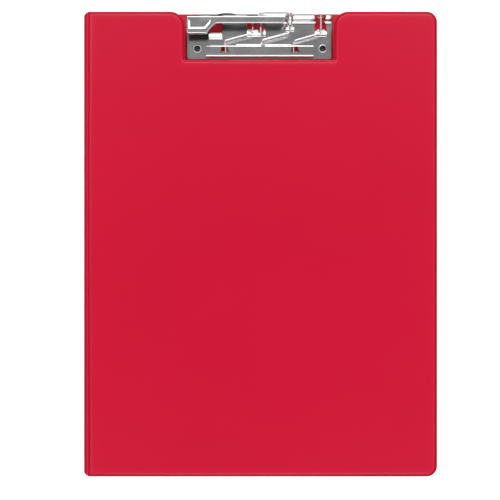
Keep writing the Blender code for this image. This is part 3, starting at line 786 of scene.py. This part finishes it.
BAR_BEND_R = 0.8
bar_outer = [(BAR_REAR_Y, BAR_FOOT), (BAR_REAR_Y, BAR_TOP - BAR_BEND_R)]
bar_outer += arc_points(BAR_REAR_Y - BAR_BEND_R, BAR_TOP - BAR_BEND_R, BAR_BEND_R, 0, 90, 8)
bar_outer += [(128.6, BAR_TOP), (127.36, BAR_TOP - 0.42), (127.25, BAR_TOP - 0.55)]
bar_outer += [(BAR_FRONT_Y + 0.05, BAR_TOP - 0.9), (BAR_FRONT_Y, BAR_TOP - 1.3)]
bar_outer += [(BAR_FRONT_Y, BAR_FOOT)]
bar_inner = [(BAR_FRONT_Y + BAR_T, BAR_FOOT), (BAR_FRONT_Y + BAR_T, BAR_TOP - 1.4)]
bar_inner += [(128.05, BAR_TOP - 1.1), (128.6, BAR_TOP - BAR_T)]
bar_inner += [(BAR_REAR_Y - BAR_T - 0.2, BAR_TOP - BAR_T)]
bar_inner += [(BAR_REAR_Y - BAR_T, BAR_TOP - BAR_T - 0.2), (BAR_REAR_Y - BAR_T, BAR_FOOT)]
clamp_bar = prism("clamp_bar_skin", bar_outer + bar_inner, "X", BAR_X0, BAR_X1, NICKEL_SHEET)
lip = [(134.5, 7.2), (135.2, 6.9), (136.1, 7.5), (136.15, 7.9), (135.9, 8.1), (135.3, 7.8)]
combine(clamp_bar, [prism("lip", lip, "X", LIP_X0, LIP_X1)], "UNION")
bar_cuts = []
for name, r in (("left", SPRING_WIRE_R), ("crank", CRANK_WIRE_R), ("right", SPRING_WIRE_R)):
    x = HOOKS[name]
    ends = (x, 133, PIN_Z), (x, 137, PIN_Z)
    bar_cuts.append(rod("bar_bore_" + name, r + RUNNING, *ends, BORE_STEPS))
TOP_SLOT_Y0, TOP_SLOT_Y1 = 130.2, 134.4
NARROW, WIDE = 2.3, 3.0
for name in ("left", "right"):
    x = HOOKS[name] + SLOT_OFFSET[name]
    slot = [(x - NARROW, TOP_SLOT_Y1), (x - NARROW, SLOT_Y0)]
    slot += [(x - WIDE, SLOT_Y0), (x - WIDE, TOP_SLOT_Y0)]
    slot += [(x + WIDE, TOP_SLOT_Y0), (x + WIDE, SLOT_Y0)]
    slot += [(x + NARROW, SLOT_Y0), (x + NARROW, TOP_SLOT_Y1)]
    bar_cuts.append(prism("bar_slot_" + name, slot[::-1], "Z", 6.3, 10))
x = HOOKS["crank"]
bar_cuts.append(box("lip_notch", (x - 1.25, 133.9, 6.95), (x + 1.25, 138, 12)))
combine(clamp_bar, bar_cuts, "DIFFERENCE")
soften(clamp_bar, BAR_ROUNDING, NICKEL_SHEET)
settle(clamp_bar, "clamp_bar", "bar")


# ---------------------------------------------------------------- clip: lever

LEVER_X0, LEVER_Y0, LEVER_Y1 = -50.1, 141.4, 153.3
LEVER_NECK_Y = 148.3
LEVER_FOLD = 0.9
lever_shape = outline([
    (LEVER_X0, LEVER_Y0, 1.0),
    (-36.9, LEVER_Y0, 1.4),
    (-30.0, LEVER_NECK_Y, 1.4),
    (15.0, LEVER_NECK_Y, 1.1),
    (18.5, LEVER_Y1, 1.1),
    (LEVER_X0, LEVER_Y1, 1.0),
], SMALL_CORNER_STEPS)


def level(a, b, h):
    """Places an outline's points at height h."""
    return (a, b, h)


bend = [math.pi / 2 * k / SMALL_CORNER_STEPS for k in range(SMALL_CORNER_STEPS + 1)]
lever_rings = [
    (LEVER_FOLD - LEVER_FOLD * math.sin(a), LEVER_TOP - LEVER_FOLD + LEVER_FOLD * math.cos(a))
    for a in bend
]
lever_rings += [(0.0, LEVER_FOOT), (LEVER_T, LEVER_FOOT), (LEVER_T, LEVER_TOP - LEVER_T - 0.25)]
lever_rings += [(LEVER_T + 0.25, LEVER_TOP - LEVER_T)]
lever = stacked(
    "lever_skin", [ring(lever_shape, d, h, level) for d, h in lever_rings], NICKEL_SHEET
)
strap = [(14.5, 17.15), (16.2, 17.15), (16.7, 16.9), (17.0, 16.3), (19.2, 10.7), (19.8, 10.9)]
strap += [(19.75, 11.4), (17.6, 16.5), (17.2, 17.3), (16.6, 17.65), (14.5, 17.72)]
lever_bits = [prism("strap", strap, "Y", 149.6, 151.6)]

# The rolled barrel: three bands with necks between them
BAND_SHOULDER, BAND_FLAT = 0.12, 0.45
neck = BARREL_R - 0.22
barrel_bore = CRANK_WIRE_R + RUNNING - 0.02
barrel_end = 1.35
barrel = [(barrel_bore, BARREL_Y0), (barrel_end, BARREL_Y0)]
third = (BARREL_Y1 - BARREL_Y0) / 3
for k in range(3):
    y0 = BARREL_Y0 + k * third
    barrel += [(neck, y0 + BAND_SHOULDER), (BARREL_R, y0 + BAND_FLAT)]
    barrel += [(BARREL_R, y0 + third - BAND_FLAT), (neck, y0 + third - BAND_SHOULDER)]
barrel += [(barrel_end, BARREL_Y1), (barrel_bore, BARREL_Y1)]
barrel = [(r, y - BARREL_Y0) for r, y in barrel]
lever_bits.append(lathe("barrel", barrel, (LEVER_PIVOT_X, BARREL_Y0, PIVOT_Z), (0, 1, 0), 48))
combine(lever, lever_bits, "UNION")

# The pressed recess of the thumb pad
PAD_DEPTH = 0.33
panel = outline([
    (-48.8, 144.3, 0.6),
    (-37.4, 144.3, 0.9),
    (-33.6, 148.4, 0.9),
    (-33.6, 150.9, 0.6),
    (-48.8, 150.9, 0.6),
], 6)
emboss = stacked("emboss", [
    ring(panel, 1.25, LEVER_TOP - PAD_DEPTH, level),
    ring(panel, 0.05, LEVER_TOP, level),
    ring(panel, -0.9, LEVER_TOP + 1.0, level),
], None)
combine(lever, [emboss], "DIFFERENCE")


def inside_channel(at, facing):
    """The lever's underside, and the inner face of its rear wall."""
    rear_wall = at.z < LEVER_TOP - 0.6 and LEVER_T + 0.3 > LEVER_Y1 - at.y > 0.3
    return at.x < 15 and (facing.z < -0.5 or rear_wall and facing.y < -0.5)


soften(lever, SHEET_ROUNDING, NICKEL_SHEET)
# The lever's underside and the inner face of its rear wall get the near-black steel: painted shade.
paint_shade(lever, SHADE_PAINT_STEEL, inside_channel)
settle(lever, "lever", "lever_arm")


# ---------------------------------------------------------------- clip: wires

LOOP_END_Y = 158.4
loop_y = LOOP_END_Y - CRANK_WIRE_R
crank_wire = wire("crank_wire_skin", [
    (SEAT_X, 142.9, PIVOT_Z),
    (SEAT_X, loop_y, PIVOT_Z),
    (LEVER_PIVOT_X, loop_y, PIVOT_Z),
    (LEVER_PIVOT_X, 143.6, PIVOT_Z),
    (HOOKS["crank"] + ELBOW_OFFSET["crank"], 138.4, PIVOT_Z - 0.5),
    (HOOKS["crank"], 137.1, PIN_Z),
    (HOOKS["crank"], PIN_END_Y, PIN_Z),
], CRANK_WIRE_R, (3.4, 3.4, 1.7, 1.2, 1.0), NICKEL_WIRE)


def spring_wire(name, x, hook_x, elbow_x):
    """A straight torsion wire with its arm and hook."""
    return wire(name, [
        (x, 156.3, PIVOT_Z),
        (x, 143.2, PIVOT_Z),
        (elbow_x, 138.1, PIVOT_Z - 0.5),
        (hook_x, 136.9, PIN_Z),
        (hook_x, PIN_END_Y, PIN_Z),
    ], SPRING_WIRE_R, (1.3, 1.1, 1.0), NICKEL_WIRE)


spring_wire_left = spring_wire(
    "spring_wire_left", LEFT_PIVOT_X, HOOKS["left"], HOOKS["left"] + ELBOW_OFFSET["left"]
)
spring_wire_right = spring_wire(
    "spring_wire_right", RIGHT_PIVOT_X, HOOKS["right"], HOOKS["right"] + ELBOW_OFFSET["right"]
)


# ---------------------------------------------------------------- semi-tubular rivets

def eyelet(name, x):
    """A semi-tubular rivet: a rolled head on the plate, a blind bore and a foot in the back."""
    t, b = PLATE_TOP, EYELET_BORE_R
    profile = [(0.7, EYELET_FLOOR_Z), (b - 0.1, EYELET_FLOOR_Z), (b, EYELET_FLOOR_Z + 0.1)]
    profile += [(b, t + 0.35), (b + 0.08, t + 0.52), (b + 0.25, t + 0.67), (b + 0.5, t + 0.71)]
    profile += [(b + 0.72, t + 0.60), (b + 0.82, t + 0.42), (b + 0.85, t + 0.25)]
    profile += [(b + 0.8, t + 0.06), (EYELET_TUBE_R, t + 0.06)]
    profile += [(EYELET_TUBE_R, 0.64), (b + 0.9, 0.64), (b + 1.0, 0.4)]
    profile += [(b + 0.85, 0.15), (b + 0.4, 0.06)]
    rings = []
    for r, z in profile:
        turns = [2 * math.pi * k / EYELET_STEPS for k in range(EYELET_STEPS)]
        rings.append([(x + r * math.cos(a), EYELET_Y + r * math.sin(a), z) for a in turns])
    return stacked(name, rings, NICKEL_RIVET, 40)


eyelet_left = eyelet("eyelet_left_skin", EYELET_X[0])
eyelet_right = eyelet("eyelet_right_skin", EYELET_X[1])


for made, node, body in (
    (crank_wire, "crank_wire", "lever_arm"),
    (spring_wire_left, "spring_wire_left", "spring_left"),
    (spring_wire_right, "spring_wire_right", "spring_right"),
):
    settle(soften(made, WIRE_ROUNDING, NICKEL_WIRE, 50), node, body)


def paint_bore_shade(rivet, x):
    """Paints the inside of a rivet darker: painted shade in the bore."""

    def in_bore(at, facing):
        reach = math.hypot(at.x - x, at.y - EYELET_Y)
        return at.z < PLATE_TOP + 0.5 and reach < EYELET_BORE_R + 0.1

    paint_shade(rivet, SHADE_PAINT_BORE, in_bore)


# The rivet bores get the dark grey steel: painted shade.
paint_bore_shade(eyelet_left, EYELET_X[0])
paint_bore_shade(eyelet_right, EYELET_X[1])
settle(eyelet_left, "eyelet_left", "back")
settle(eyelet_right, "eyelet_right", "back")

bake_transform(web_back)
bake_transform(web_cover)

for name in ("back_core", "cover_core", "spine_core"):
    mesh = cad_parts[name].data
    mesh.materials.clear()
    mesh.materials.append(GREYBOARD)


# ---------------------------------------------------------------- stage, light and camera

def studio_floor():
    """A plain pale floor that runs up into a wall all round, far away."""
    bm = bmesh.new()
    corners = [(-STAGE, -STAGE), (STAGE, -STAGE), (STAGE, STAGE), (-STAGE, STAGE)]
    low = [bm.verts.new((x, y, FLOOR_Z)) for x, y in corners]
    high = [bm.verts.new((x, y, STAGE)) for x, y in corners]
    bm.faces.new(low)
    for i in range(4):
        j = (i + 1) % 4
        bm.faces.new((low[i], low[j], high[j], high[i]))
    made = finish(mesh_from("floor", bm), "floor", pale_floor("floor_look"))
    made.visible_diffuse = False
    made.visible_glossy = False


def mirror_panel(name, place, aim, width, height, watts):
    """A low soft panel that only shiny surfaces see."""
    light = bpy.data.lights.new(name, "AREA")
    light.shape = "RECTANGLE"
    light.size = width
    light.size_y = height
    light.energy = watts
    made = bpy.data.objects.new(name, light)
    parts.objects.link(made)
    made.location = place
    made.rotation_mode = "QUATERNION"
    made.rotation_quaternion = (Vector(aim) - Vector(place)).to_track_quat("-Z", "Y")
    made.visible_diffuse = False


def studio_surround():
    """A soft dome: the product of the ramps in DOME, each along its own direction."""
    world = bpy.data.worlds.new("studio")
    world.use_nodes = True
    tree = world.node_tree
    direction = tree.nodes.new("ShaderNodeTexCoord").outputs["Generated"]
    factors = []
    for axis, low, high, from_value, to_value in DOME:
        along = tree.nodes.new("ShaderNodeVectorMath")
        along.operation = "DOT_PRODUCT"
        tree.links.new(direction, along.inputs[0])
        along.inputs[1].default_value = axis
        ramp = tree.nodes.new("ShaderNodeMapRange")
        ramp.interpolation_type = "SMOOTHSTEP"
        tree.links.new(along.outputs["Value"], ramp.inputs["Value"])
        for name, number in zip(
            ("From Min", "From Max", "To Min", "To Max"), (low, high, from_value, to_value)
        ):
            ramp.inputs[name].default_value = number
        factors.append(ramp.outputs["Result"])
    product = factors[0]
    for factor in factors[1:]:
        times = tree.nodes.new("ShaderNodeMath")
        times.operation = "MULTIPLY"
        tree.links.new(product, times.inputs[0])
        tree.links.new(factor, times.inputs[1])
        product = times.outputs[0]
    background = tree.nodes["Background"]
    background.inputs["Color"].default_value = rgb(1, 1, 1)
    tree.links.new(product, background.inputs["Strength"])
    scene.world = world


STAGE = 30.0
FLOOR_Z = -0.0002

# Ramps of the sky's strength: direction, cosine at the start and the end, strength at each.
# In turn: the grey cap overhead, the dark horizon, the brighter +Y side, the darker +X and -X.
DOME = (
    ((0.0, 0.0, 1.0), 0.900, 0.945, 1.0, 0.067),
    ((0.0, 0.0, 1.0), 0.33, 0.74, 0.04, 1.0),
    ((0.0, 1.0, 0.0), -0.75, 0.75, 1.6, 3.75),
    ((1.0, 0.0, 0.0), 0.15, 0.65, 1.0, 0.3),
    ((-1.0, 0.0, 0.0), 0.15, 0.65, 1.0, 0.3),
)
studio_floor()
studio_surround()
PANEL_AT, PANEL_AIM = (0.0, -1.1, 0.72), (0.0, 0.0, 0.0)
PANEL_WIDTH, PANEL_HEIGHT, PANEL_WATTS = 1.6, 0.75, 4.6
mirror_panel("low_panel", PANEL_AT, PANEL_AIM, PANEL_WIDTH, PANEL_HEIGHT, PANEL_WATTS)
scene.view_settings.view_transform = "Standard"

CAMERA_AT = (-0.0070, -0.0053, 0.680)
LENS, SENSOR_WIDTH = 70.49, 36
lens = bpy.data.cameras.new("camera")
lens.lens = LENS
lens.sensor_width = SENSOR_WIDTH
camera = bpy.data.objects.new("camera", lens)
parts.objects.link(camera)
camera.location = CAMERA_AT
scene.camera = camera
